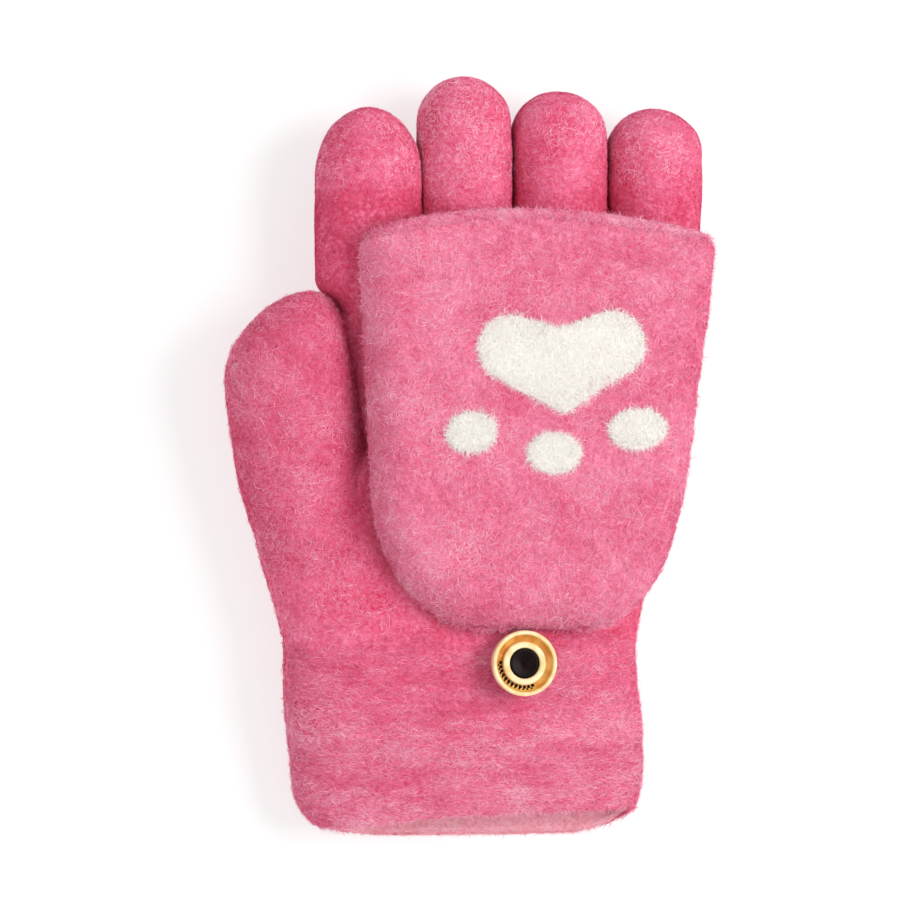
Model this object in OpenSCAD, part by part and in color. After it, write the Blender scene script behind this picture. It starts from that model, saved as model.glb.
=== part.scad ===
/* [Mitten] */
// Length from the cuff's mouth to the middle fingertip
mitten_len = 155; // [148:1:162]
// Width of the cuff across the wrist
cuff_w = 72; // [68:1:76]
// Thickness of the hand where the palm is fullest
hand_h = 22; // [21:0.5:23]
// Thickness of the knitted fabric
knit_t = 2; // [1.6:0.1:2.4]
// Thickness of the soft lining
lining_t = 1; // [0.8:0.1:1.2]

/* [Flap] */
// Width of the flap's pouch at its mouth
flap_w = 74; // [70:1:76]
// Distance from the sewn hinge seam back to the flap's rounded tip
flap_len = 62; // [60:1:64]
// Height of the folded pouch over its back panel
pouch_h = 5.6; // [5:0.2:6.4]

/* [Button] */
// Outer diameter of the button
button_d = 13.4; // [12:0.2:15]
// Thickness of the button at its raised rim
button_t = 3.2; // [3:0.1:3.6]

/* [Hidden] */
cuff_y = -77.5;                 // the palm side of the cuff's mouth
tip_y = cuff_y + mitten_len;    // the middle fingertip
wrist_y = -38;                  // where the cuff joins the hand
crotch_y = -17.5;               // the plane where the thumb leaves the hand
root_y = 31;                    // the plane where the fingers leave the hand
cuff_x = -1.5;                  // middle of the cuff
hinge_y = 27.5;                 // the sewn seam that the flap turns about
hinge_z = hand_h + 2.6;
seam_r = 0.9;
seam_gap = 0.06;                // running clearance of the sewn loops on the seam cord
flap_x = 11.5;                  // middle of the flap's mouth
flap_tip_y = hinge_y - flap_len;
panel_t = 1.4;                  // thickness of the flap's back panel
panel_z = hinge_z - panel_t / 2;
pouch_z = hinge_z + pouch_h;    // top of the folded pouch
lip_len = 19;                   // how far the pouch's mouth reaches over the fingers
mouth_y = hinge_y + lip_len;
patch_t = 1;                    // how far the paw print stands up from the flap
heart_x = 15.3;
heart_y = 22.7;
button_x = 8.4;
button_y = flap_tip_y - button_d / 2 - 0.4;
button_z = hand_h + 2.1;        // underside of the button
shank_r = 1.5;
loop_r = 0.6;                   // half the thickness of the elastic loop
skin_gap = 0.2;                 // between the knit, its lining and the hem
sides = 32;
finger_sides = 16;
corner = 0.62;                  // squareness of the hand's section, 1 is an ellipse
flatten = 1.12;                 // how far the underside is pressed flat on the table
under_z = 4.6;                  // height of the fingers' underside over the table
// Each finger: middle at its root and its tip, half width, tip position, half width at its
// root, the share of its length over which it widens, and the length of its rounded tip
index_f = [-18.7, -21.4, 10.6, tip_y - 6.5, 8.1, 0.1, 12.6];
middle_f = [-0.8, -1.2, 9.3, tip_y, 9.2, 0.6, 9.6];
ring_f = [18.2, 18.4, 9.6, tip_y - 2.6, 9.2, 0.6, 9.2];
little_f = [37.2, 38.4, 9.7, tip_y - 6.2, 9.2, 0.6, 9];
finger_top = hand_h;
lining_in = knit_t + skin_gap + lining_t;
thumb_tip_y = 33.6;
thumb_tip_len = 18.6;           // length of the thumb's rounded tip

function power(v, p) = sign(v) * pow(abs(v), p);
function mix(a, b, t) = a + (b - a) * t;
function clamp01(t) = min(1, max(0, t));
function smooth(a, b, y) = let (t = clamp01((y - a) / (b - a))) t * t * (3 - 2 * t);

// One closed ring round the Y axis: middle x, half width, underside and top, and how much
// further back the upper half sits than the lower half
function ring(x, y, half, z0, z1, n = sides, p = corner, slant = 0, t = 0) =
    [for (i = [0 : n - 1])
        let (a = 360 * (i + 0.5) / n, h = (z1 - z0) / 2)
        [x + (half - t) * power(cos(a), p),
            y + slant * (pow(max(0, sin(a)), 0.9) * (0.72 + 0.3 * cos(a))
                + 0.06 * (1 + cos(a)) * (1 + sin(a)) / 2),
            max(z0 + t, (z0 + z1) / 2 + (h - t) * (sin(a) < 0 ? flatten : 1) * power(sin(a), p))]];

// A solid skinned over rings of equal point count, capped at both ends or closed on itself
module skin_over(rings, closed = false) {
    n = len(rings[0]);
    m = len(rings);
    last = closed ? m - 1 : m - 2;
    walls = [for (j = [0 : last], i = [0 : n - 1], half = [0, 1])
        let (k = (i + 1) % n, j2 = (j + 1) % m)
        half == 0 ? [j * n + i, j2 * n + i, j2 * n + k] : [j * n + i, j2 * n + k, j * n + k]];
    caps = closed ? [] : [[for (i = [0 : n - 1]) i], [for (i = [n - 1 : -1 : 0]) (m - 1) * n + i]];
    polyhedron([for (r = rings) each r], concat(walls, caps), convexity = 6);
}

// Outline of the cuff and hand, as [middle x, half width, underside z, top z] at a height y
function mouth_round(y, over) = pow(1 - clamp01((y - cuff_y) / over), 2.2);
function hand_left(y) = y < wrist_y
    ? -38 + 1.5 * (1 - smooth(-64, -46, y)) + 7.6 * mouth_round(y, 16)
    : mix(-38, -43.8, clamp01((y - wrist_y) / (crotch_y - wrist_y)));
function hand_right(y) = y < wrist_y
    ? 36.4 - 1.7 * smooth(-58, -40, y) - 4.8 * mouth_round(y, 14)
    : mix(34.7, 38.2, clamp01((y - wrist_y) / (crotch_y - wrist_y)));
function widen() = cuff_w - 72;
function hand_top(y) = mix(15, hand_h, smooth(cuff_y, -36, y));
function hand_section(y) =
    [(hand_left(y) + hand_right(y)) / 2, (hand_right(y) - hand_left(y) + widen()) / 2,
        0, hand_top(y)];
function palm_section(y) = let (t = clamp01((y - crotch_y) / (root_y - crotch_y)))
    let (left = mix(-18.4, -25.8, t), right = mix(38.2, 46.8, t))
    [(left + right) / 2, (right - left) / 2, under_z * smooth(1.5, 7.5, y),
        mix(hand_top(crotch_y), hand_h, t)];

// A finger or thumb near its end: [middle x, half width, underside z, top z, dome, shift],
// where dome is the cosine and shift the sine of the angle up its rounded tip
function dome_at(y, end, len) = sqrt(1 - pow(clamp01((y - end + len) / len), 2));
function shift_at(y, end, len) = clamp01((y - end + len) / len);
function thumb_section(y) =
    let (t = clamp01((y - crotch_y) / (thumb_tip_y - crotch_y)),
        u = shift_at(y, thumb_tip_y, thumb_tip_len))
    [-31.2 - 13.4 * t + 5.6 * t * t + 5.2 * u * u, 12.2 + 6.6 * t - 7.2 * t * t,
        mix(0.6, 6.4, smooth(0, 1, t)),
        mix(hand_top(crotch_y) - 1, 25.6, smooth(0, 1, t)),
        dome_at(y, thumb_tip_y, thumb_tip_len), u];
function finger_section(f, y) =
    let (t = clamp01((y - root_y) / (f[3] - root_y)), s = smooth(0, f[5], t))
    [mix(f[0], f[1], s), mix(f[4], f[2], s), under_z, finger_top,
        dome_at(y, f[3], f[6]), shift_at(y, f[3], f[6])];
function tube_ring(s, y, t, n, p, slant = 0) =
    ring(s[0], y, s[1], s[2], s[3], n, p, slant, t);

slant_len = 6;      // how much further back the mouth's upper edge is cut
cuff_steps = [cuff_y, cuff_y + 1.5, cuff_y + 6, cuff_y + 14, cuff_y + 26, wrist_y];
hand_steps = [wrist_y, -31, -24, crotch_y];
palm_steps = [crotch_y + 0.3, -8, 1.5, 3.5, 5.5, 7.5, 16, root_y];
thumb_steps = [0, 0.2, 0.4, 0.6, 0.76, 0.84, 0.91, 0.96, 0.99, 1];
finger_steps = [0, 0.05, 0.1, 0.3, 0.6, 0.75, 0.87, 0.94, 0.98, 1];

function cuff_slant(y) = slant_len * (1 - smooth(cuff_y, cuff_y + 20, y));

module open_tube(steps, kind, t0, t1) {
    outer = [for (y = steps) section_ring(kind, y, t0)];
    inner = [for (k = [len(steps) - 1 : -1 : 0]) section_ring(kind, steps[k], t1)];
    skin_over(concat(outer, inner), closed = true);
}

function section_ring(kind, y, t) = kind == "palm"
    ? tube_ring(palm_section(y), y, t, sides, corner)
    : tube_ring(hand_section(y), y, t, sides, corner, cuff_slant(y));

// One ring of a finger or thumb, set in by t from its outside
function domed_ring(s, y, t, n, p) =
    let (mid = (s[2] + s[3]) / 2, half_z = (s[3] - s[2]) / 2)
    let (w = max(0.6, (s[1] - t) * s[4]), h = max(0.6, (half_z - t) * s[4]))
    ring(s[0], y - t * s[5], w, mid - h, mid + h, n, p);

// A tube with a closed dome: from the inner pole down to the open rim and back up outside
module domed_tube(sections, ys, t0, t1, n, p) {
    last = len(ys) - 1;
    inner = [for (k = [last : -1 : 0]) domed_ring(sections[k], ys[k], t1, n, p)];
    outer = [for (k = [0 : last]) domed_ring(sections[k], ys[k], t0, n, p)];
    skin_over(concat(inner, outer));
}

module finger(f, t0, t1) {
    ys = [for (u = finger_steps) mix(root_y, f[3], u)];
    domed_tube([for (y = ys) finger_section(f, y)], ys, t0, t1, finger_sides, 0.86);
}

module thumb(t0, t1) {
    ys = [for (u = thumb_steps) mix(crotch_y, thumb_tip_y, u)];
    domed_tube([for (y = ys) thumb_section(y)], ys, t0, t1, finger_sides, 0.86);
}

module cuff_knit() {
    color("#e8719a") open_tube(cuff_steps, "hand", 0, knit_t);
}

module hand_knit() {
    color("#e8719a") {
        open_tube(hand_steps, "hand", 0, knit_t);
        open_tube(palm_steps, "palm", 0, knit_t);
    }
}

// The turned hem inside the cuff's mouth
module cuff_hem() {
    color("#eab0bd")
        open_tube([cuff_y + 1.5, cuff_y + 4, cuff_y + 8], "hand", lining_in + 2 * skin_gap,
            lining_in + 1.2);
}

module palm_lining() {
    color("#f0c4ca") {
        open_tube(concat([cuff_y + 0.4], [for (k = [2 : 5]) cuff_steps[k]],
            [for (k = [1 : 3]) hand_steps[k]]), "hand", knit_t + skin_gap, lining_in);
        open_tube(palm_steps, "palm", knit_t + skin_gap, lining_in);
    }
}

module thumb_knit() {
    color("#e8719a") thumb(0, knit_t);
}

module thumb_lining() {
    color("#f0c4ca") thumb(knit_t + skin_gap, lining_in);
}

module index_finger_knit() {
    color("#e8719a") finger(index_f, 0, knit_t);
}

module middle_finger_knit() {
    color("#e8719a") finger(middle_f, 0, knit_t);
}

module ring_finger_knit() {
    color("#e8719a") finger(ring_f, 0, knit_t);
}

module little_finger_knit() {
    color("#e8719a") finger(little_f, 0, knit_t);
}

module index_finger_lining() {
    color("#f0c4ca") finger(index_f, knit_t + skin_gap, lining_in);
}

module middle_finger_lining() {
    color("#f0c4ca") finger(middle_f, knit_t + skin_gap, lining_in);
}

module ring_finger_lining() {
    color("#f0c4ca") finger(ring_f, knit_t + skin_gap, lining_in);
}

module little_finger_lining() {
    color("#f0c4ca") finger(little_f, knit_t + skin_gap, lining_in);
}

// The sewn seam that the flap turns about: a cord held at both ends by thread tacks
seam_half = 31;
sleeve_len = 13;
tack_w = 3;

module along_seam(x, r, l) {
    translate([x, hinge_y, hinge_z]) rotate([0, 90, 0]) cylinder(r = r, h = l, center = true, $fn = 48);
}

module hinge_seam_cord() {
    color("#c94f7c") along_seam(flap_x, seam_r, 2 * seam_half);
}

module seam_tack(side) {
    x = flap_x + side * (seam_half - tack_w / 2);
    color("#c94f7c") difference() {
        union() {
            along_seam(x, 1.7, tack_w);
            translate([x - tack_w / 2, hinge_y - 1.7, hand_h - 2.6])
                cube([tack_w, 3.4, hinge_z - hand_h + 2.6]);
        }
        along_seam(x, seam_r, tack_w + 2);
    }
}

module seam_tack_left() {
    seam_tack(-1);
}

module seam_tack_right() {
    seam_tack(1);
}

// Half width and middle of the flap at a distance y: straight sides, then a rounded tip
function flap_left(y) = mix(-25.4, -22.6, clamp01((mouth_y - y) / (mouth_y + 14)));
function flap_right(y) = mix(49.4, 41.6, clamp01((mouth_y - y) / (mouth_y + 14)));
function tip_cut(y, over) = 1 - sqrt(1 - pow(clamp01((flap_tip_y + over - y) / over), 2));
function flap_x0(y) = mix(flap_left(y), flap_x + 0.8, 0.68 * tip_cut(y, 28)) - (flap_w - 74) / 2;
function flap_x1(y) = mix(flap_right(y), flap_x + 0.8, 0.66 * tip_cut(y, 31)) + (flap_w - 74) / 2;
flap_ys = [for (k = [0 : 10]) mix(flap_tip_y, 12, 1 - cos(9 * k))];

function flap_outline(inset, y_top) = concat(
    [for (y = flap_ys) [flap_x0(y) + inset, max(y, flap_tip_y + inset)]],
    [[flap_x0(y_top) + inset, y_top], [flap_x1(y_top) - inset, y_top]],
    [for (k = [10 : -1 : 0]) [flap_x1(flap_ys[k]) - inset, max(flap_ys[k], flap_tip_y + inset)]]);

module flap_back_panel() {
    reach = sleeve_len;
    color("#e27aa0") difference() {
        union() {
            translate([0, 0, panel_z])
                linear_extrude(panel_t) polygon(flap_outline(3.4, hinge_y - 2.4));
            for (side = [-1, 0, 1]) {
                x = flap_x + side * 18;
                along_seam(x, 1.7, reach);
                translate([x - reach / 2, hinge_y - 3, panel_z]) cube([reach, 3, panel_t]);
            }
        }
        for (side = [-1, 0, 1])
            along_seam(flap_x + side * 18, seam_r + seam_gap, reach + 2);
    }
}

wall_t = 2;
floor_t = 2.2;

// The pouch: a top sheet with a rim turned down round three sides
module flap_pouch() {
    top = pouch_z - floor_t;
    color("#ee8fb0") {
        translate([0, 0, top]) linear_extrude(floor_t) polygon(flap_outline(1.2, mouth_y - 4));
        translate([0, 0, panel_z - 0.4]) linear_extrude(top - panel_z + 1.4) difference() {
            polygon(flap_outline(0, hinge_y - 4));
            polygon(flap_outline(wall_t + 1, hinge_y));
        }
    }
}

// The rolled hem along the pouch's mouth, bowed towards the fingertips
module flap_mouth_hem() {
    bow = 4.4;
    xs = [for (k = [0 : 12]) mix(flap_x0(mouth_y) + 1.2, flap_x1(mouth_y) - 1.2, k / 12)];
    function bow_y(x) = mouth_y - 4 + bow * cos(150 * (x - flap_x - 1) / flap_w) + 0.6;
    color("#f19bb8") translate([0, 0, pouch_z - floor_t - 0.2])
        linear_extrude(floor_t + 0.7)
            polygon(concat([for (x = xs) [x, bow_y(x)]],
                [[xs[12], mouth_y - 4], [xs[0], mouth_y - 4]]));
}

// An upright heart with its point towards the cuff, from two discs and a wedge
module paw_heart_patch() {
    lobe = 6.5;
    spread = 10.9;
    color("#f8f5f0") translate([heart_x, heart_y, pouch_z]) linear_extrude(patch_t) union() {
        for (side = [-1, 1]) translate([side * spread, 0]) circle(r = lobe, $fn = 48);
        polygon([[-spread - 4.7, -4.4], [0, -13.9], [spread + 4.7, -4.4], [spread, 6.3],
            [0, 3.4], [-spread, 6.3]]);
    }
}

module paw_toe(x, y, w, h) {
    color("#f8f5f0") translate([x, y, pouch_z]) linear_extrude(patch_t) {
        translate([h / 2 - w / 2, 0]) circle(d = h, $fn = 48);
        translate([w / 2 - h / 2, 0]) circle(d = h, $fn = 48);
        square([w - h, h], center = true);
    }
}

module paw_left_patch() {
    paw_toe(-3.4, 5.3, 10.6, 8.2);
}

module paw_middle_patch() {
    paw_toe(13.5, 1, 11.4, 8.6);
}

module paw_right_patch() {
    paw_toe(31, 5.9, 12, 8);
}

// The elastic loop at the flap's tip, hooked round the button's shank
loop_z = hand_h + 0.65;
loop_half = 2.7;
tab_y = flap_tip_y + 3.5;

module elastic_loop() {
    color("#d9658d") {
        for (side = [-1, 1])
            translate([button_x + side * loop_half, button_y, loop_z]) rotate([-90, 0, 0])
                cylinder(r = loop_r, h = tab_y - button_y, $fn = 24);
        translate([button_x, button_y, loop_z]) rotate([0, 0, 180])
            rotate_extrude(angle = 180, $fn = 48)
                translate([loop_half, 0]) circle(r = loop_r, $fn = 24);
    }
}

module loop_tab() {
    color("#d9658d") translate([button_x - 4.5, tab_y, loop_z - 0.25])
        cube([9, 5, panel_z - loop_z + 0.25]);
}

// The button: a dished gold rim, an inner ring and a dark core on a thread shank
rim_r = button_d / 2;
hole_r = 2.2;
dish_r = rim_r - 1.9;
bar_r = 0.8;        // the thread that the button rocks on
bar_len = 3.4;
bar_z = 0.6;

// Height of the dish's floor at a radius
function dish_z(r) = 1.4 + 0.3 * (r - hole_r) / (dish_r - hole_r);

module at_button(z) {
    translate([button_x, button_y, button_z + z]) children();
}

module thread_bar(r, l) {
    at_button(bar_z) rotate([0, 90, 0]) cylinder(r = r, h = l, center = true, $fn = 48);
}

module button_rim() {
    color("#d9b36a") at_button(0) rotate_extrude($fn = 72) polygon([[hole_r, 0], [rim_r - 1.2, 0],
        [rim_r, 1], [rim_r, button_t - 0.5], [rim_r - 0.5, button_t], [rim_r - 1.1, button_t],
        [rim_r - 1.5, button_t - 0.6], [dish_r, dish_z(dish_r)], [hole_r, dish_z(hole_r)]]);
}

module button_ring() {
    color("#efe2bf") at_button(0.03) rotate_extrude($fn = 72) polygon([[3.18, dish_z(3.18)],
        [4.45, dish_z(4.45)], [4.25, button_t - 0.35], [3.18, button_t - 0.25]]);
}

// The dark middle, with a groove under it for the thread
module button_core() {
    color("#1c0f0c") difference() {
        at_button(0.03) rotate_extrude($fn = 72) polygon([[0, 0.9], [hole_r - 0.05, 0.9],
            [hole_r - 0.05, dish_z(hole_r)], [3.15, dish_z(3.15)], [3.15, button_t - 0.75],
            [1.5, button_t - 1.1], [0, button_t - 1.1]]);
        thread_bar(bar_r + 0.1, 2 * rim_r);
    }
}

// A stem of thread with the cross bar that holds the button
module button_shank() {
    foot = hand_h - 1.4;
    color("#b8416c") {
        translate([button_x, button_y, foot])
            cylinder(r = shank_r, h = button_z + 0.2 - foot, $fn = 48);
        thread_bar(bar_r, bar_len);
    }
}

cuff_knit();
hand_knit();
thumb_knit();
index_finger_knit();
middle_finger_knit();
ring_finger_knit();
little_finger_knit();
cuff_hem();
palm_lining();
thumb_lining();
index_finger_lining();
middle_finger_lining();
ring_finger_lining();
little_finger_lining();
hinge_seam_cord();
seam_tack_left();
seam_tack_right();
flap_back_panel();
flap_pouch();
flap_mouth_hem();
paw_heart_patch();
paw_left_patch();
paw_middle_patch();
paw_right_patch();
elastic_loop();
loop_tab();
button_rim();
button_ring();
button_core();
button_shank();
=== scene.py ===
import math

import bpy
import numpy as np
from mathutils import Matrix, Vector, noise


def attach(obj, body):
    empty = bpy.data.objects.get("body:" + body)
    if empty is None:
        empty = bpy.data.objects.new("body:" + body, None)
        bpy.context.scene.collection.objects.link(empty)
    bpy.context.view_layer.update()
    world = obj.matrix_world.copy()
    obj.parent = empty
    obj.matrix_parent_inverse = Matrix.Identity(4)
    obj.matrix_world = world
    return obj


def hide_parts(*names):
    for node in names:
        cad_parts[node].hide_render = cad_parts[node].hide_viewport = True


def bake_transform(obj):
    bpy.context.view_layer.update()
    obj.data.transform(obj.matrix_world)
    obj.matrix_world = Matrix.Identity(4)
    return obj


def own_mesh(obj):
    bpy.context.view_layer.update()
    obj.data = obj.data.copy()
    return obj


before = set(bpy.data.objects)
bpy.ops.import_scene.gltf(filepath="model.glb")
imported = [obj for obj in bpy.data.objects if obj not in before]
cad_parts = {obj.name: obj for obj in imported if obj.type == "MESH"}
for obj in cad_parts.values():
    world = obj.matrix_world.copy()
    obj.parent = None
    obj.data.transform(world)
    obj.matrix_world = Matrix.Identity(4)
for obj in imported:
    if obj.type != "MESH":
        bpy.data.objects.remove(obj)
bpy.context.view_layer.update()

MM = 0.001
rng = np.random.default_rng(4582)

# ---------------------------------------------------------------- sizes, in millimetres
CUFF_Y, WRIST_Y, CROTCH_Y, ROOT_Y, TIP_Y = -77.5, -38.0, -17.5, 31.0, 77.5
HAND_TOP = 22.0
UNDER_Z = 4.6
THUMB_TIP_Y = 33.6
CORNER, FINGER_CORNER = 0.62, 0.86  # squareness of the sections, 1 is an ellipse
FLATTEN = 1.12  # the lower half is pushed flat against the table
KNIT, LINING = 2.0, 1.0  # thickness of the knit and of its lining
MOUTH_SLANT = 6.6  # how far the cuff's upper edge is set back from its lower one
MOUTH_WALL = 1.1  # thickness of the knit at the cuff's edge
MOUTH_ROUND = 12.0  # length of the cuff's rounded corners
THUMB_DOME = 18.6  # length of the thumb's rounded tip
POCKET_Y = -32.0  # how deep the cuff is hollow
HINGE_Y, HINGE_Z = 27.5, 24.6
FLAP_TIP_Y = -34.5
FLAP_MID_X = 11.5
LIP_Y = 44.0  # the flap's mouth, at its corners
FLAP_LOW_Z, FLAP_TOP_Z = 22.9, 30.3
FLAP_EDGE = 7.0  # width of the flap's rounded edge
BUTTON = (8.4, -41.6, 24.1)  # middle of its underside
# Each finger: middle at its root and tip, half width, tip position, half width at its root,
# share of its length over which it widens, and length of its rounded tip
FINGERS = {
    "index": (-19.2, -21.2, 10.7, TIP_Y - 6.5, 9.0, 0.1, 13.0),
    "middle": (-0.8, -1.3, 9.5, TIP_Y, 9.2, 0.6, 10.0),
    "ring": (18.2, 18.5, 9.8, TIP_Y - 2.6, 9.2, 0.6, 9.4),
    "little": (37.2, 38.4, 9.8, TIP_Y - 6.2, 9.2, 0.6, 9.0),
}


def mix(a, b, t):
    return a + (b - a) * t


def clamp01(t):
    return min(1.0, max(0.0, t))


def smooth(a, b, v):
    t = clamp01((v - a) / (b - a))
    return t * t * (3 - 2 * t)


# ---------------------------------------------------------------- sections of the knitted body
def mouth_round(y):
    """How far the cuff's sides are drawn in by its rounded corners, from 0 to 1 at the mouth."""
    u = 1 - clamp01((y - CUFF_Y) / MOUTH_ROUND)
    return 1 - math.sqrt(1 - min(u * u, 0.97))


def hand_left(y):
    if y < WRIST_Y:
        return -37.8 + 1.9 * (1 - smooth(-68, -46, y)) + 12.5 * mouth_round(y)
    return mix(-37.8, -43.6, clamp01((y - WRIST_Y) / (CROTCH_Y - WRIST_Y)))


def hand_right(y):
    if y < WRIST_Y:
        return 36.5 - 1.9 * smooth(-58, -40, y) - 8.0 * mouth_round(y)
    return mix(34.6, 38.0, clamp01((y - WRIST_Y) / (CROTCH_Y - WRIST_Y)))


def hand_top(y):
    return mix(15.0, HAND_TOP, smooth(CUFF_Y, -36, y))


def hand_section(y):
    left, right = hand_left(y), hand_right(y)
    return (left + right) / 2, (right - left) / 2, 0.0, hand_top(y)


def palm_section(y):
    t = clamp01((y - CROTCH_Y) / (ROOT_Y - CROTCH_Y))
    left, right = mix(-18.6, -27.8, t), mix(38.0, 46.6, t)
    return (left + right) / 2, (right - left) / 2, UNDER_Z * smooth(1.5, 7.5, y), HAND_TOP


def tip_of(y, end, length):
    """How far up its rounded tip a finger is at y: the angle's sine and cosine."""
    u = clamp01((y - end + length) / length)
    return u, math.sqrt(1 - u * u)


def thumb_section(y):
    t = clamp01((y - CROTCH_Y) / (THUMB_TIP_Y - CROTCH_Y))
    u, dome = tip_of(y, THUMB_TIP_Y, THUMB_DOME)
    s = smooth(0, 1, t)
    z0, z1 = mix(0.6, 6.4, s), mix(21.0, 25.4, s)
    mid, half = (z0 + z1) / 2, max(0.3, (z1 - z0) / 2 * dome)
    width = max(0.3, (12.1 + 6.6 * t - 7.2 * t * t) * dome)
    return -31.2 - 13.4 * t + 5.6 * t * t + 5.2 * u * u, width, mid - half, mid + half


def finger_section(f, y):
    t = clamp01((y - ROOT_Y) / (f[3] - ROOT_Y))
    s = smooth(0, f[5], t)
    dome = tip_of(y, f[3], f[6])[1]
    mid, half = (UNDER_Z + HAND_TOP) / 2, max(0.3, (HAND_TOP - UNDER_Z) / 2 * dome)
    return mix(f[0], f[1], s), max(0.3, mix(f[4], f[2], s) * dome), mid - half, mid + half


def power(v, p):
    return math.copysign(abs(v) ** p, v)


def set_back(s, c):
    """Share of the mouth's slant round the cuff: least below, most above and to the right."""
    end = 0.14 + 0.5 * clamp01(1 + 1.6 * s) if c > 0 else 0.3
    return max(0.0, s) ** 0.9 * (0.64 + 0.4 * c) + 0.02 * (1 + c) * (1 + s) + end * c**6


def ring_point(section, a, p, inset):
    """The point of a section at an angle, as X and Z."""
    mid_x, half, z0, z1 = section
    mid_z, h = (z0 + z1) / 2, (z1 - z0) / 2 - inset
    z = mid_z + h * (FLATTEN if math.sin(a) < 0 else 1) * power(math.sin(a), p)
    return mid_x + (half - inset) * power(math.cos(a), p), max(z0 + inset, z)


def ring(section, y, n, p, inset=0.0):
    """One closed ring of points round the Y axis."""
    points = [ring_point(section, 2 * math.pi * i / n, p, inset) for i in range(n)]
    return [(x, y, z) for x, z in points]


# ---------------------------------------------------------------- outline of the flap
def flap_left(y):
    return mix(-25.4, -22.4, clamp01((46.5 - y) / 60.5))


def flap_right(y):
    return mix(49.2, 41.4, clamp01((46.5 - y) / 60.5))


def tip_cut(y, over):
    """Share by which the flap is narrower at its round tip, over this length."""
    return 1 - math.sqrt(max(0.0, 1 - clamp01((FLAP_TIP_Y + over - y) / over) ** 2))


def flap_edges(y):
    middle = FLAP_MID_X + 0.8
    left = mix(flap_left(y), middle, 0.68 * tip_cut(y, 28.0))
    return left, mix(flap_right(y), middle, 0.66 * tip_cut(y, 31.0))


# ---------------------------------------------------------------- mesh helpers
def new_mesh(name, points, faces):
    mesh = bpy.data.meshes.new(name)
    mesh.from_pydata([tuple(c * MM for c in p) for p in points], [], faces)
    mesh.validate()
    mesh.update()
    mesh.polygons.foreach_set("use_smooth", [True] * len(mesh.polygons))
    obj = bpy.data.objects.new(name, mesh)
    bpy.context.scene.collection.objects.link(obj)
    return obj


def skinned(name, rings, closed=False):
    """A mesh skinned over rings of equal point count."""
    n, m = len(rings[0]), len(rings)
    points = [p for r in rings for p in r]
    last = m if closed else m - 1
    faces = [
        (j * n + i, j * n + (i + 1) % n, ((j + 1) % m) * n + (i + 1) % n, ((j + 1) % m) * n + i)
        for j in range(last)
        for i in range(n)
    ]
    if not closed:
        faces.append(tuple(range(n - 1, -1, -1)))
        faces.append(tuple((m - 1) * n + i for i in range(n)))
    return new_mesh(name, points, faces)


def points_of(mesh):
    co = np.empty(len(mesh.vertices) * 3, np.float64)
    mesh.vertices.foreach_get("co", co)
    return co.reshape(-1, 3)


def normals_of(mesh):
    no = np.empty(len(mesh.vertices) * 3, np.float64)
    mesh.vertices.foreach_get("normal", no)
    return no.reshape(-1, 3)


def field(points, size, seed, octaves=2):
    """Smooth noise from about -1 to 1 at each point, with features of this size."""
    shift = Vector((seed * 7.3, seed * 3.1, seed * 5.7))
    return np.array(
        [noise.fractal(Vector(p) / size + shift, 1.0, 2.0, octaves) for p in points], np.float64
    )


def store_rest(obj):
    """Keeps each point's rest position, so that a pattern doesn't slide when the mesh bends."""
    mesh = obj.data
    rest = mesh.attributes.new("rest_mm", "FLOAT_VECTOR", "POINT")
    rest.data.foreach_set("vector", (points_of(mesh) / MM).astype(np.float32).ravel())


def push_out(obj, amount_mm):
    mesh = obj.data
    co = points_of(mesh) + normals_of(mesh) * (np.asarray(amount_mm) * MM)[:, None]
    mesh.vertices.foreach_set("co", co.astype(np.float32).ravel())
    mesh.update()


def apply_modifiers(obj):
    graph = bpy.context.evaluated_depsgraph_get()
    mesh = bpy.data.meshes.new_from_object(obj.evaluated_get(graph))
    obj.modifiers.clear()
    obj.data = mesh
    return obj


def joined(name, parts):
    points, faces = [], []
    for part in parts:
        base = len(points)
        points += [tuple(c / MM for c in v.co) for v in part.data.vertices]
        faces += [tuple(base + i for i in f.vertices) for f in part.data.polygons]
        bpy.data.objects.remove(part)
    return new_mesh(name, points, faces)


def remeshed(obj, voxel_mm, rounds):
    obj.modifiers.new("voxels", "REMESH").mode = "VOXEL"
    obj.modifiers["voxels"].voxel_size = voxel_mm * MM
    soften = obj.modifiers.new("soften", "SMOOTH")
    soften.factor = 0.5
    soften.iterations = rounds
    apply_modifiers(obj)
    obj.data.polygons.foreach_set("use_smooth", [True] * len(obj.data.polygons))
    return obj


# ---------------------------------------------------------------- materials
def principled(name, colour, rough, sheen=0.0, coat=0.0, shine=0.5):
    mat = bpy.data.materials.new(name)
    mat.use_nodes = True
    node = mat.node_tree.nodes["Principled BSDF"]
    node.inputs["Base Color"].default_value = (*colour, 1)
    node.inputs["Roughness"].default_value = rough
    node.inputs["Sheen Weight"].default_value = sheen
    node.inputs["Sheen Roughness"].default_value = 0.5
    node.inputs["Sheen Tint"].default_value = (*colour, 1)
    node.inputs["Coat Weight"].default_value = coat
    node.inputs["IOR"].default_value = 1.45
    node.inputs["Specular IOR Level"].default_value = shine
    return mat


def linear(r, g, b):
    """A colour given in screen values from 0 to 255, as linear light."""

    def one(c):
        c /= 255
        return c / 12.92 if c <= 0.04045 else ((c + 0.055) / 1.055) ** 2.4

    return one(r), one(g), one(b)


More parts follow.
